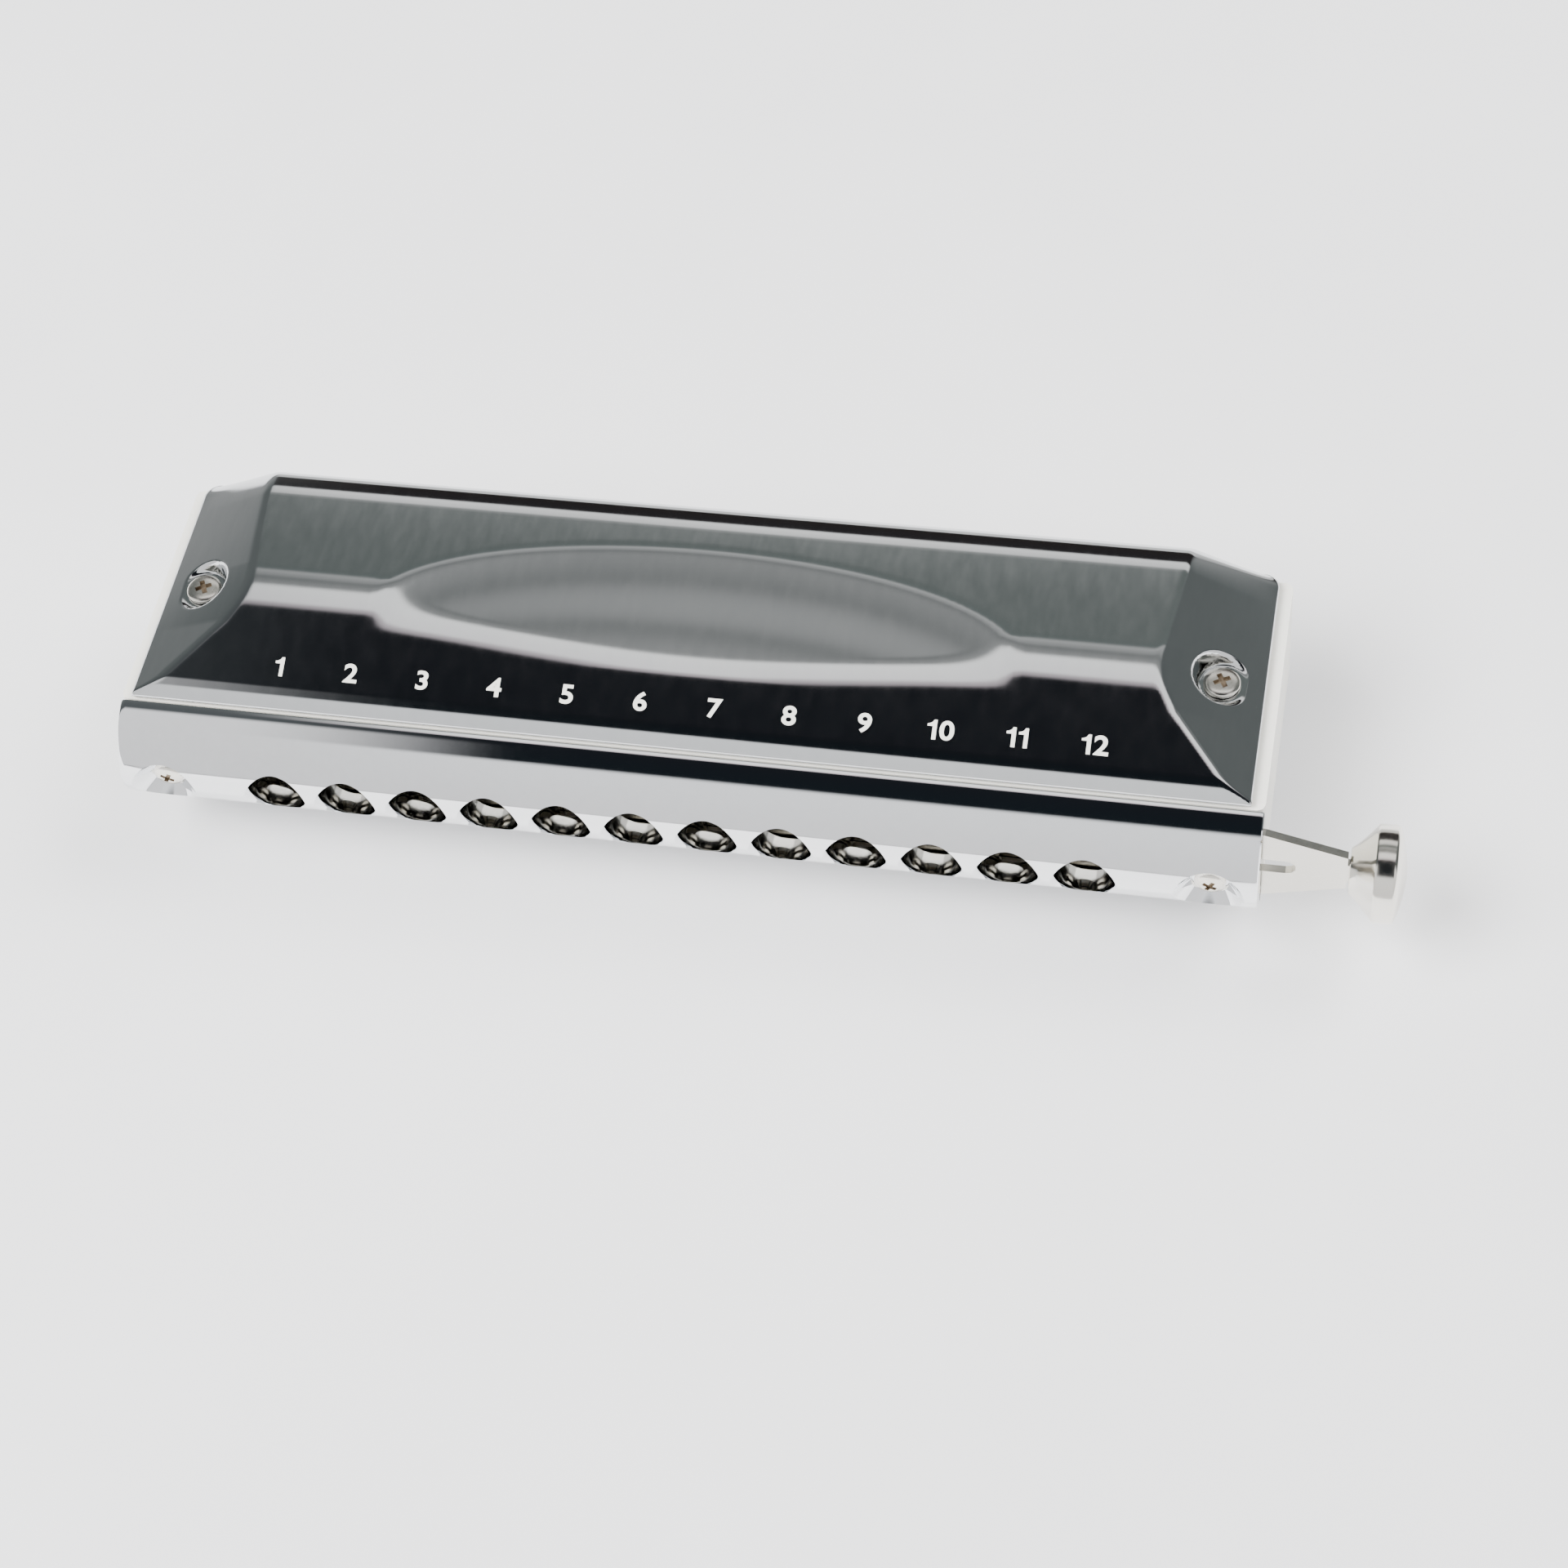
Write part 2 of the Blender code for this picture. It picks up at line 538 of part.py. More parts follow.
HEAD_TOP, HEAD_SEAT = 11.1, 10.35
for side_name, s in (("right", 1), ("left", -1)):
    at = (s * COVER_SCREW_X, COVER_SCREW_Y, 0)
    name = "cover_screw_" + side_name
    screw = turned(name, [(-10.9, 0), (-10.9, 0.75), (-10.7, 0.95), (HEAD_SEAT, 0.95), (HEAD_SEAT, 2.22), (HEAD_SEAT + 0.35, 2.22), (HEAD_TOP - 0.15, 1.75), (HEAD_TOP, 1.0), (HEAD_TOP, 0)], "Z", at, 16, SCREW_NICKEL)
    for tool in cross_cutters(name, (at[0], at[1], HEAD_TOP), "Z", 1.05, 0.55):
        cut(screw, tool)
    turned("cover_nut_" + side_name, [(-HEAD_SEAT, 1.25), (-HEAD_SEAT, 2.3), (-11.25, 2.3), (-11.5, 1.95), (-11.5, 1.25), (-HEAD_SEAT, 1.25)], "Z", at, 12, SCREW_NICKEL)
    at = (s * MOUTH_SCREW_X, 0, 0)
    name = "mouthpiece_screw_" + side_name
    screw = turned(name, [(-5.75, 0), (-5.75, 0.9), (-5.55, 1.6), (-5.1, 1.9), (-4.8, 1.9), (-4.8, 0.9), (7.3, 0.9), (7.6, 0.6), (7.6, 0)], "Y", at, 16, SCREW_NICKEL)
    for tool in cross_cutters(name, (at[0], -5.75, 0), "Y", 0.95, 0.5):
        cut(screw, tool)
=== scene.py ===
import math

import bmesh
import bpy
from mathutils import Matrix, Vector


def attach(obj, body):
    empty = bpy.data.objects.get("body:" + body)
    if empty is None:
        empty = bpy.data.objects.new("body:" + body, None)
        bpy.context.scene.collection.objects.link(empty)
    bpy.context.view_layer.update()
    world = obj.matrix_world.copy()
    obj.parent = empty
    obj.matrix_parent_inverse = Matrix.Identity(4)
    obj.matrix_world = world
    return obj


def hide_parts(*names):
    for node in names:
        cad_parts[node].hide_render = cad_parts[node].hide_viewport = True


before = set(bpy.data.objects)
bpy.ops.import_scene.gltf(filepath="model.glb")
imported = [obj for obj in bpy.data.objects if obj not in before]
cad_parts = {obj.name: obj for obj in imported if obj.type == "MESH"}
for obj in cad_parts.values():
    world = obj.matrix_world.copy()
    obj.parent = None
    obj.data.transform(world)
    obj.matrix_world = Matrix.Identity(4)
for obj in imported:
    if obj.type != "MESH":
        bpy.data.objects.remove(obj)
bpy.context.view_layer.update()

MM = 0.001
SHIFT = Vector((-8.45, -13.465, 15.0))      # from the mouthpiece's frame to the row frame, mm
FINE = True
BODY, CARRIAGE = "body", "slide_carriage"


# ------------------------------------------------------------------ materials
def nodes_of(mat):
    mat.use_nodes = True
    return mat.node_tree.nodes, mat.node_tree.links


def finish_material(name, dark, light, metallic, rough, scale, stretch=(1, 1, 1), bump=0.02, rough_span=0.06, coat=0.0, patches=18.0):
    """A surface with fine grain, soft stains and wear, all from noise in object space."""
    mat = bpy.data.materials.new(name)
    nodes, links = nodes_of(mat)
    shader = nodes["Principled BSDF"]
    shader.inputs["Metallic"].default_value = metallic
    shader.inputs["Coat Weight"].default_value = coat
    where = nodes.new("ShaderNodeTexCoord")
    fit = nodes.new("ShaderNodeMapping")
    fit.inputs["Scale"].default_value = stretch
    links.new(where.outputs["Object"], fit.inputs["Vector"])
    grain = nodes.new("ShaderNodeTexNoise")
    grain.inputs["Scale"].default_value = scale
    grain.inputs["Detail"].default_value = 5
    links.new(fit.outputs["Vector"], grain.inputs["Vector"])
    stain = nodes.new("ShaderNodeTexNoise")
    stain.inputs["Scale"].default_value = patches
    stain.inputs["Detail"].default_value = 3
    links.new(where.outputs["Object"], stain.inputs["Vector"])
    both = nodes.new("ShaderNodeMath"); both.operation = "MULTIPLY_ADD"
    both.inputs[1].default_value = 0.35
    links.new(grain.outputs["Fac"], both.inputs[0])
    links.new(stain.outputs["Fac"], both.inputs[2])
    ramp = nodes.new("ShaderNodeValToRGB")
    ramp.color_ramp.elements[0].position = 0.45
    ramp.color_ramp.elements[1].position = 0.85
    ramp.color_ramp.elements[0].color = (*dark, 1)
    ramp.color_ramp.elements[1].color = (*light, 1)
    links.new(both.outputs[0], ramp.inputs["Fac"])
    links.new(ramp.outputs["Color"], shader.inputs["Base Color"])
    spread = nodes.new("ShaderNodeMapRange")
    spread.inputs["To Min"].default_value = max(0.02, rough - rough_span)
    spread.inputs["To Max"].default_value = rough + rough_span
    links.new(grain.outputs["Fac"], spread.inputs["Value"])
    links.new(spread.outputs["Result"], shader.inputs["Roughness"])
    relief = nodes.new("ShaderNodeBump")
    relief.inputs["Strength"].default_value = bump
    relief.inputs["Distance"].default_value = 0.0001
    links.new(grain.outputs["Fac"], relief.inputs["Height"])
    links.new(relief.outputs["Normal"], shader.inputs["Normal"])
    return mat


CHROME = finish_material("polished_chrome", (0.86, 0.87, 0.88), (0.93, 0.94, 0.95), 1.0, 0.05, 900, bump=0.006, rough_span=0.025)
DARK = finish_material("black_nickel", (0.64, 0.655, 0.66), (0.72, 0.73, 0.73), 1.0, 0.075, 700, (1, 0.35, 1), bump=0.008, rough_span=0.03)
NICKEL = finish_material("satin_nickel", (0.66, 0.63, 0.56), (0.80, 0.77, 0.70), 1.0, 0.24, 1500, (0.08, 1, 1), bump=0.06, rough_span=0.08)
BUTTON = finish_material("button_nickel", (0.74, 0.71, 0.64), (0.86, 0.83, 0.76), 1.0, 0.15, 1200, (1, 1, 1), bump=0.02, rough_span=0.06)
SCREW = finish_material("screw_nickel", (0.80, 0.76, 0.68), (0.90, 0.87, 0.80), 1.0, 0.24, 2500, bump=0.05, rough_span=0.08, patches=700)
# Painted shade: a dark brown colour for the cross recesses of the screw heads, standing in for the shade inside them.
PAINTED_RECESS_SHADE = finish_material("screw_recess_painted_shade", (0.20, 0.14, 0.09), (0.46, 0.38, 0.28), 0.8, 0.45, 3000, bump=0.1, rough_span=0.1, patches=900)
CREAM = finish_material("moulded_cream", (0.80, 0.78, 0.71), (0.88, 0.87, 0.81), 0.0, 0.42, 1800, bump=0.08, rough_span=0.08)
BRASS = finish_material("milled_brass", (0.62, 0.46, 0.22), (0.78, 0.62, 0.34), 1.0, 0.3, 900, (0.1, 1, 1), bump=0.05)
REED = finish_material("reed_brass", (0.70, 0.54, 0.28), (0.85, 0.70, 0.42), 1.0, 0.24, 2200, (1, 0.1, 1), bump=0.05)
STEEL = finish_material("spring_steel", (0.42, 0.42, 0.43), (0.60, 0.60, 0.61), 1.0, 0.3, 2500, bump=0.04)
PRINT = finish_material("number_print", (0.78, 0.77, 0.70), (0.88, 0.87, 0.81), 0.0, 0.38, 3000, bump=0.05)
FLOOR = finish_material("floor_paper", (0.86, 0.86, 0.87), (0.89, 0.89, 0.90), 0.0, 0.7, 60, bump=0.02)

for name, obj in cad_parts.items():
    if name == "comb": mat = CREAM
    elif "screw" in name or "nut" in name: mat = SCREW
    elif "reed_plate" in name: mat = BRASS
    elif "_reed_" in name: mat = REED
    elif name in ("slide_spring", "button_pin"): mat = STEEL
    elif name == "mouthpiece": mat = CHROME
    elif name.endswith("_cover"): mat = DARK
    else: mat = NICKEL
    obj.data.materials.clear()
    obj.data.materials.append(mat)


# ------------------------------------------------------------------ mesh helpers
def make(name, bm, mat, smooth=30, body=BODY, instead=(), placed=True):
    """A piece drawn in millimetres in the mouthpiece's frame, set in the row frame."""
    if placed:
        bmesh.ops.translate(bm, vec=SHIFT, verts=bm.verts)
    bmesh.ops.scale(bm, vec=(MM, MM, MM), verts=bm.verts)
    mesh = bpy.data.meshes.new(name)
    bm.to_mesh(mesh)
    bm.free()
    mesh.shade_smooth()
    if smooth:
        mesh.set_sharp_from_angle(angle=math.radians(smooth))
    made = bpy.data.objects.new(name, mesh)
    bpy.context.scene.collection.objects.link(made)
    if mat:
        mesh.materials.append(mat)
        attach(made, body)
        if instead:
            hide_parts(*instead)
    return made


def turned(points, axis, at, sides):
    bm = bmesh.new()
    line = [bm.verts.new((r, 0, s)) for s, r in points]
    for a, b in zip(line, line[1:]):
        bm.edges.new((a, b))
    bmesh.ops.spin(bm, geom=bm.verts[:] + bm.edges[:], cent=(0, 0, 0), axis=(0, 0, 1), angle=2 * math.pi, steps=sides, use_merge=True, use_duplicate=False)
    bmesh.ops.remove_doubles(bm, verts=bm.verts, dist=0.0001)
    turn = {"X": Matrix.Rotation(math.pi / 2, 4, "Y"), "Y": Matrix.Rotation(-math.pi / 2, 4, "X"), "Z": Matrix()}[axis]
    bmesh.ops.transform(bm, matrix=Matrix.Translation(at) @ turn, verts=bm.verts)
    bmesh.ops.recalc_face_normals(bm, faces=bm.faces)
    return bm


def add_box(bm, x, y, z):
    size = Vector((x[1] - x[0], y[1] - y[0], z[1] - z[0]))
    mid = Vector((x[1] + x[0], y[1] + y[0], z[1] + z[0])) / 2
    bmesh.ops.create_cube(bm, size=1, matrix=Matrix.Translation(mid) @ Matrix.Diagonal((*size, 1)))


def merge(into, other):
    mesh = bpy.data.meshes.new("part")
    other.to_mesh(mesh)
    other.free()
    into.from_mesh(mesh)
    bpy.data.meshes.remove(mesh)


def carve(piece, *tools):
    """Cuts the tools from the piece, applies the cuts and removes the tools."""
    for tool in tools:
        mod = piece.modifiers.new("cut", "BOOLEAN")
        mod.operation, mod.solver, mod.object = "DIFFERENCE", "EXACT", tool
        graph = bpy.context.evaluated_depsgraph_get()
        mesh = bpy.data.meshes.new_from_object(piece.evaluated_get(graph), depsgraph=graph)
        piece.modifiers.clear()
        piece.data = mesh
        bpy.data.objects.remove(tool, do_unlink=True)


def resmooth(piece, angle):
    piece.data.shade_smooth()
    piece.data.set_sharp_from_angle(angle=math.radians(angle))


# ------------------------------------------------------------------ covers
HALF, FRONT, TOP, END = 69.4, 0.25, 15.0, 9.15
SX, SY, RR, RZ = 64.2, 16.3, 3.12, 10.2
ROLL_Y, ROLL_A, ROLL_B = 29.2, 5.0, 2.4


def clamp(v, a, b):
    return max(a, min(b, v))


def soft_min(a, b, k):
    h = clamp(0.5 + 0.5 * (b - a) / k, 0.0, 1.0)
    return b * (1 - h) + a * h - k * h * (1 - h)


def smooth(t):
    t = clamp(t, 0.0, 1.0)
    return t * t * (3 - 2 * t)


def cover_height(x, y):
    front = soft_min(8.8 + 1.03 * (y - FRONT), 10.4 + 0.356 * (y - 1.9), 0.6)
    mid = clamp(1 - (x / 40.0) ** 2, 0, 1)
    top = TOP
    if mid > 0:
        rim = 13.5 + 12.3 * math.sqrt(mid)
        u = (rim - y) / 16.3
        top = soft_min(TOP, TOP - 1.9 * (u + 0.045 * math.sin(2 * math.pi * clamp(u, 0, 1))), 0.12)
    z = soft_min(front, top, 1.1 - 0.75 * math.sqrt(mid))
    slope = 0.40 + 0.010 * (clamp(y, 10, 18) - 10) + 0.0055 * (clamp(y, 18, 30) - 18)
    z = soft_min(z, END + slope * (HALF - abs(x)), 0.3)
    d = math.hypot(abs(x) - SX, y - SY)
    if d < RR + 0.5 and z > RZ:
        z = RZ + (z - RZ) * smooth((d - (RR - 0.25)) / 0.75)
    return z


def cover_point(x, kind, value):
    if kind == "y":
        y, z = value, cover_height(x, value)
    else:
        angle = min(value, 90)
        top = cover_height(x, ROLL_Y)
        scale = clamp((top - END) / (TOP - END), 0, 1) ** 0.7
        y = ROLL_Y + ROLL_A * math.sin(math.radians(angle))
        z = top - ROLL_B * scale * (1 - math.cos(math.radians(angle)))
        if value > 90:
            z -= (0.25 + 0.55 * scale) * (value - 90) / 9.0
    if abs(x) > 60 and y > 32.2:
        pull = 2.0 - math.sqrt(max(0.0, 4.0 - min(y - 32.2, 2.0) ** 2))
        x = math.copysign(60 + (abs(x) - 60) * (HALF - 60 - pull) / (HALF - 60), x)
    return x, y, z


def spaced(stops):
    """Values between the stops, at the step given for each stretch."""
    out = [stops[0][0]]
    for (a, step), (b, _) in zip(stops, stops[1:]):
        n = max(1, round((b - a) / step))
        out += [a + (b - a) * k / n for k in range(1, n + 1)]
    return out


fine = 1 if FINE else 2
half_cols = spaced([(0, 1.0 * fine), (54, 0.35 * fine), (60, 0.22 * fine), (68.4, 0.25), (HALF, 1)])
COLS = [-x for x in reversed(half_cols[1:])] + half_cols
ROWS = [("y", y) for y in spaced([(FRONT, 0.22 * fine), (3, 0.35 * fine), (12.5, 0.22 * fine), (20.5, 0.4 * fine), (ROLL_Y, 1)])]
ROWS += [("roll", a) for a in spaced([(3, 3.0 * fine), (90, 3), (99, 1)])]


def cover(name, side, node):
    bm = bmesh.new()
    grid = [[bm.verts.new((p[0], p[1], side * p[2])) for p in (cover_point(x, *row) for x in COLS)] for row in ROWS]
    for j in range(len(ROWS) - 1):
        for i in range(len(COLS) - 1):
            ring = (grid[j][i], grid[j][i + 1], grid[j + 1][i + 1], grid[j + 1][i])
            bm.faces.new(ring if side > 0 else ring[::-1])
    drop = []
    for f in bm.faces:
        c = f.calc_center_median()
        if math.hypot(abs(c.x) - SX, c.y - SY) < 1.3:
            drop.append(f)
    bmesh.ops.delete(bm, geom=drop, context="FACES")
    piece = make(name, bm, DARK, smooth=None, instead=(node,))
    shell = piece.modifiers.new("sheet", "SOLIDIFY")
    shell.thickness, shell.offset = 0.45 * MM, -1
    graph = bpy.context.evaluated_depsgraph_get()
    mesh = bpy.data.meshes.new_from_object(piece.evaluated_get(graph), depsgraph=graph)
    piece.modifiers.clear()
    piece.data = mesh
    for v in mesh.vertices:
        v.co.y = min(v.co.y, (34.2 + SHIFT.y) * MM)
    return piece


cover("upper_cover_shell", 1, "upper_cover")
cover("lower_cover_shell", -1, "lower_cover")


# ------------------------------------------------------------------ mouthpiece
DEPTH, HH, POWER, LEN = 7.27, 8.25, 1.5, 71.0


def nose(z):
    return -DEPTH * (1 - min(1.0, abs(z) / HH) ** POWER) ** (1 / POWER)


steps = 44
half = [HH * (1 - (1 - i / steps) ** 1.7) for i in range(steps + 1)]
heights = [-z for z in reversed(half[1:])] + half
bm = bmesh.new()
stations = [(-LEN, 0.55), (-LEN + 0.12, 0.28), (-LEN + 0.4, 0.08), (-LEN + 0.9, 0.0), (LEN - 0.5, 0.0), (LEN - 0.15, 0.06), (LEN, 0.22)]
rings = []
for x, inset in stations:
    k = 1 - inset / HH
    rings.append([bm.verts.new((x, nose(z) * (1 - inset / DEPTH), z * k)) for z in heights])
for a, b in zip(rings, rings[1:]):
    n = len(a)
    for i in range(n):
        bm.faces.new((a[i], a[(i + 1) % n], b[(i + 1) % n], b[i]))
bm.faces.new(rings[0][::-1])
bm.faces.new(rings[-1])
bmesh.ops.recalc_face_normals(bm, faces=bm.faces)
mouth = make("mouthpiece_shell", bm, CHROME, smooth=None, instead=("mouthpiece",))
sides = 56 if FINE else 28
bm = bmesh.new()
for i in range(12):
    lip = [(0, 0), (0, 4.55)] + [(0.9 + 1.5 * t, 4.02 - 0.72 * math.sin(math.pi / 2 * t) ** 0.8) for t in (0.0, 0.15, 0.3, 0.45, 0.6, 0.8, 1.0)] + [(7, 3.3), (7, 0)]
    merge(bm, turned(lip, "Y", ((i - 5.5) * 9.2, -8.2, 0), sides))
holes = make("hole_tools", bm, None)
bm = bmesh.new()
for s in (1, -1):
    dish = [(0, 0), (0, 4.6), (0.8, 3.95), (1.5, 3.45), (2.2, 2.95), (2.8, 2.5), (3.2, 2.2), (3.2, 1.2), (7, 1.2), (7, 0)]
    merge(bm, turned(dish, "Y", (s * 65.3, -7.75, 0), sides))
dishes = make("dish_tools", bm, None)
bm = bmesh.new()
add_box(bm, (-LEN + 1.0, LEN + 2), (-3.05, 2), (-6.65, 6.65))
channel = make("channel_tool", bm, None)
carve(mouth, channel, holes, dishes)
resmooth(mouth, 28)

# ------------------------------------------------------------------ button
curve = [(81.25, 0), (81.25, 2.6), (81.35, 2.85), (81.6, 3.0), (82.3, 3.6), (83.0, 4.35), (83.7, 5.15), (84.05, 5.55), (84.2, 5.8), (84.45, 5.9), (86.4, 5.9), (86.62, 5.82), (86.8, 5.6), (87.1, 4.8), (87.4, 3.7), (87.65, 2.5), (87.82, 1.3), (87.9, 0)]
bm = turned(curve, "X", (0, -1.45, 0), 96)
button = make("button_turned", bm, BUTTON, smooth=38, body=CARRIAGE, instead=("button",))
bm = bmesh.new()
add_box(bm, (80.5, 84.6), (-2.2, -0.7), (-2.0, 2.0))
carve(button, make("tang_tool", bm, None))
resmooth(button, 32)


# ------------------------------------------------------------------ screws
def cross_head(name, points, axis, at, top, r, depth, node, sign=1):
    piece = make(name, turned(points, axis, at, 48), SCREW, body=BODY, instead=(node,))
    # Second material slot: the painted shade for the cross recess.
    piece.data.materials.append(PAINTED_RECESS_SHADE)
    tools = []
    for a, b in ((r, r * 0.3), (r * 0.3, r)):
        bm = bmesh.new()
        if axis == "Z":
            add_box(bm, (at[0] - a, at[0] + a), (at[1] - b, at[1] + b), (top - depth, top + 2))
        else:
            add_box(bm, (at[0] - a, at[0] + a), (top - 2, top + depth), (at[2] - b, at[2] + b))
        spin = Matrix.Rotation(math.radians(28), 4, axis)
        bmesh.ops.rotate(bm, cent=at, matrix=spin, verts=bm.verts)
        tool = make(name + "_tool", bm, None, smooth=None)
        # The tool's faces carry the painted recess shade into the cut faces of the recess.
        tool.data.materials.append(SCREW)
        tool.data.materials.append(PAINTED_RECESS_SHADE)
        for f in tool.data.polygons:
            f.material_index = 1
        tools.append(tool)
    carve(piece, *tools)
    resmooth(piece, 32)


for word, s in (("right", 1), ("left", -1)):
    head = [(-10.9, 0), (-10.9, 0.75), (-10.7, 0.95), (10.35, 0.95), (10.35, 2.15), (10.42, 2.22), (10.65, 2.22), (10.8, 2.13), (10.93, 1.9), (11.02, 1.55), (11.08, 1.0), (11.1, 0)]
    cross_head("cover_screw_head_" + word, head, "Z", (s * SX, SY, 0), 11.1, 1.05, 0.6, "cover_screw_" + word)
    head = [(-5.75, 0), (-5.74, 0.6), (-5.66, 1.1), (-5.5, 1.55), (-5.3, 1.82), (-5.1, 1.9), (-4.8, 1.9), (-4.8, 0.9), (7.3, 0.9), (7.6, 0.6), (7.6, 0)]
    cross_head("mouthpiece_screw_head_" + word, head, "Y", (s * 65.3, 0, 0), -5.75, 0.9, 0.5, "mouthpiece_screw_" + word)


# ------------------------------------------------------------------ hole numbers
ONE = [(0.20, 0), (0.20, 1), (0.05, 1), (-0.02, 0.88), (-0.14, 0.81), (-0.26, 0.79), (-0.26, 0.67), (0.0, 0.67), (0.0, 0)]
TALL = 2.45


def digit(char):
    """One digit as a flat mesh, its foot on y 0 and its middle on x 0, and its width."""
    bm = bmesh.new()
    if char == "1":
        bm.faces.new([bm.verts.new((u * TALL, v * TALL, 0)) for u, v in reversed(ONE)])
        return bm, 0.60 * TALL
    text = bpy.data.curves.new("digit", "FONT")
    text.body, text.size, text.offset, text.resolution_u = char, 1.0, 0.024, 6
    temp = bpy.data.objects.new("digit", text)
    bpy.context.scene.collection.objects.link(temp)
    bpy.context.view_layer.update()
    mesh = bpy.data.meshes.new_from_object(temp.evaluated_get(bpy.context.evaluated_depsgraph_get()))
    bpy.data.objects.remove(temp, do_unlink=True)
    bm.from_mesh(mesh)
    xs, ys = [v.co.x for v in bm.verts], [v.co.y for v in bm.verts]
    k = TALL / (max(ys) - min(ys))
    for v in bm.verts:
        v.co = ((v.co.x - (max(xs) + min(xs)) / 2) * k * 1.12, (v.co.y - min(ys)) * k, 0)
    return bm, (max(xs) - min(xs)) * k * 1.12 + 0.09 * TALL


def number(i):
    made, start = bmesh.new(), 0.0
    pieces = [digit(c) for c in str(i + 1)]
    start = -sum(w for _, w in pieces) / 2
    for bm, w in pieces:
        bmesh.ops.translate(bm, vec=(start + w / 2, 0, 0), verts=bm.verts)
        start += w
        merge(made, bm)
    bmesh.ops.triangulate(made, faces=made.faces)
    up = 1 / math.sqrt(1 + 0.356 ** 2)
    for v in made.verts:
        x, y = (i - 5.5) * 9.2 + v.co.x, 3.8 + v.co.y * up
        v.co = (x, y, cover_height(x, y) + 0.015)
    bmesh.ops.recalc_face_normals(made, faces=made.faces)
    if sum(f.normal.z for f in made.faces) < 0:
        bmesh.ops.reverse_faces(made, faces=made.faces)
    raised = bmesh.ops.extrude_face_region(made, geom=made.faces[:])
    bmesh.ops.translate(made, vec=(0, 0, -0.05), verts=[v for v in raised["geom"] if isinstance(v, bmesh.types.BMVert)])
    bmesh.ops.recalc_face_normals(made, faces=made.faces)
    make(f"number_{i + 1:02d}", made, PRINT, smooth=30)


for i in range(12):
    number(i)

# ------------------------------------------------------------------ floor, light, camera
bm = bmesh.new()
bmesh.ops.create_grid(bm, x_segments=40, y_segments=40, size=3000)
floor = make("floor", bm, None, placed=False)
floor.data.materials.append(FLOOR)
floor.location.z = -0.0001

world = bpy.data.worlds.new("studio")
bpy.context.scene.world = world
world.use_nodes = True
nodes, links = world.node_tree.nodes, world.node_tree.links
back = nodes["Background"]
where = nodes.new("ShaderNodeTexCoord")
split = nodes.new("ShaderNodeSeparateXYZ")
links.new(where.outputs["Generated"], split.inputs["Vector"])


turn = nodes.new("ShaderNodeMath"); turn.operation = "ARCTAN2"
links.new(split.outputs["Z"], turn.inputs[0])
links.new(split.outputs["Y"], turn.inputs[1])
part = nodes.new("ShaderNodeMath"); part.operation = "DIVIDE"
part.inputs[1].default_value = math.pi
links.new(turn.outputs[0], part.inputs[0])
# Light round the studio, from the back wall (0) over the ceiling (90) to the front (180).
bands = [(0, (1.05, 1.05, 1.05)), (9, (1.05, 1.05, 1.05)), (12, (0.03, 0.026, 0.026)), (36, (0.03, 0.028, 0.03)), (40, (1.3, 1.3, 1.3)), (49, (1.1, 1.1, 1.1)),
         (52.5, (0.16, 0.18, 0.175)), (57, (0.17, 0.195, 0.19)), (60, (0.55, 0.56, 0.56)), (63, (0.42, 0.43, 0.43)), (66, (0.26, 0.27, 0.27)), (71, (0.36, 0.37, 0.37)), (75, (1.5, 1.5, 1.5)),
         (86, (1.4, 1.38, 1.4)), (89, (0.7, 0.63, 0.67)), (92, (0.012, 0.014, 0.018)), (127, (0.01, 0.014, 0.018)), (133, (1.25, 1.27, 1.3)), (180, (1.15, 1.15, 1.17))]
edges = [(0, (0.4, 0.41, 0.41)), (45, (0.15, 0.165, 0.165)), (98, (0.10, 0.11, 0.115)), (108, (1.2, 1.2, 1.22)), (180, (1.15, 1.15, 1.17))]


def around(stops):
    ramp = nodes.new("ShaderNodeValToRGB")
    ramp.color_ramp.interpolation = "EASE"
    while len(ramp.color_ramp.elements) > 1:
        ramp.color_ramp.elements.remove(ramp.color_ramp.elements[-1])
    ramp.color_ramp.elements[0].position = 0
    ramp.color_ramp.elements[0].color = (*stops[0][1], 1)
    for angle, colour in stops[1:]:
        e = ramp.color_ramp.elements.new(angle / 180)
        e.color = (*colour, 1)
    links.new(part.outputs[0], ramp.inputs["Fac"])
    return ramp.outputs["Color"]


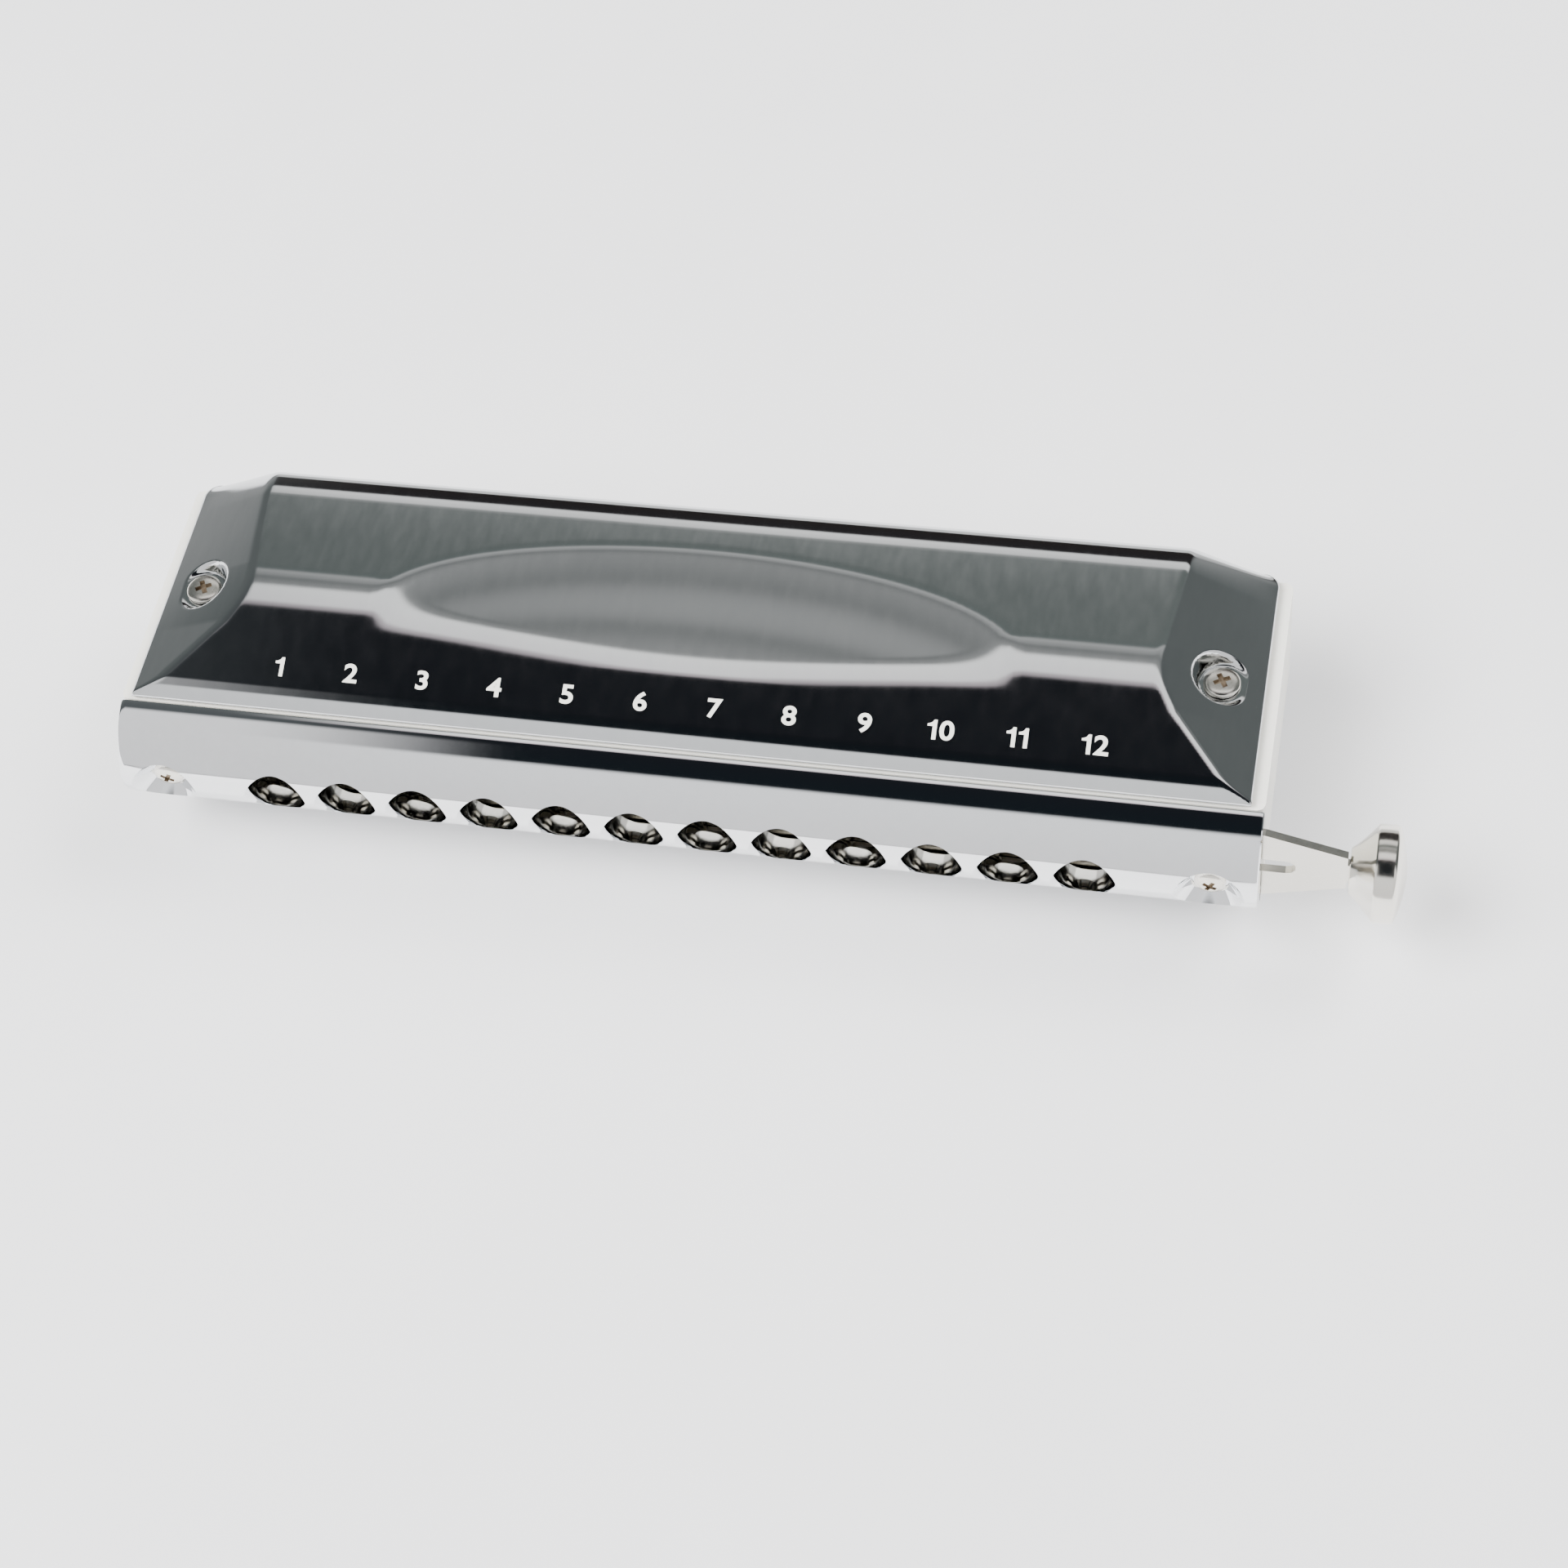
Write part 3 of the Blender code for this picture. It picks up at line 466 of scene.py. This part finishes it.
away = nodes.new("ShaderNodeMath"); away.operation = "ABSOLUTE"
links.new(split.outputs["X"], away.inputs[0])
fade = nodes.new("ShaderNodeMapRange"); fade.interpolation_type = "SMOOTHSTEP"
fade.inputs["From Min"].default_value = 0.31
fade.inputs["From Max"].default_value = 0.47
links.new(away.outputs[0], fade.inputs["Value"])
mix = nodes.new("ShaderNodeMix"); mix.data_type = "RGBA"
links.new(fade.outputs["Result"], mix.inputs["Factor"])
links.new(around(bands), mix.inputs["A"])
links.new(around(edges), mix.inputs["B"])
mixed = mix.outputs["Result"]
path = nodes.new("ShaderNodeLightPath")
pale = nodes.new("ShaderNodeMix"); pale.data_type = "RGBA"
pale.inputs["B"].default_value = (0.9, 0.9, 0.91, 1)
links.new(path.outputs["Is Camera Ray"], pale.inputs["Factor"])
links.new(mixed, pale.inputs["A"])
links.new(pale.outputs["Result"], back.inputs["Color"])
back.inputs["Strength"].default_value = 1.0


def lamp(name, at, size, power):
    light = bpy.data.lights.new(name, "AREA")
    light.size, light.energy = size, power
    obj = bpy.data.objects.new(name, light)
    obj.location = at
    obj.rotation_euler = (Vector((0, 0, 0)) - Vector(at)).to_track_quat("-Z", "Y").to_euler()
    bpy.context.scene.collection.objects.link(obj)
    obj.visible_glossy = False
    return obj


lamp("key", (-0.5, -0.4, 0.9), 0.7, 31.0)
lamp("fill", (0.7, 0.5, 0.9), 0.8, 22.0)

AZ, EL, ROLL, DIST, TX, TY, FOCAL = 0.338287, 0.961596, -0.180758, 386.9946, 12.61436, 0.994131, 3862.775
b = Vector((math.sin(AZ) * math.cos(EL), -math.cos(AZ) * math.cos(EL), math.sin(EL)))
x = Vector((0, 0, 1)).cross(b).normalized()
y = b.cross(x)
c, s = math.cos(ROLL), math.sin(ROLL)
x2, y2 = c * x + s * y, -s * x + c * y
eye = (x2 * TX + y2 * TY + b * DIST + SHIFT) * MM
camera = bpy.data.cameras.new("camera")
camera.sensor_width = 36
camera.lens = 36 * FOCAL / 1920
camera.clip_start = 0.01
seat = bpy.data.objects.new("camera", camera)
seat.matrix_world = Matrix(((x2.x, y2.x, b.x, eye.x), (x2.y, y2.y, b.y, eye.y), (x2.z, y2.z, b.z, eye.z), (0, 0, 0, 1)))
bpy.context.scene.collection.objects.link(seat)
bpy.context.scene.camera = seat
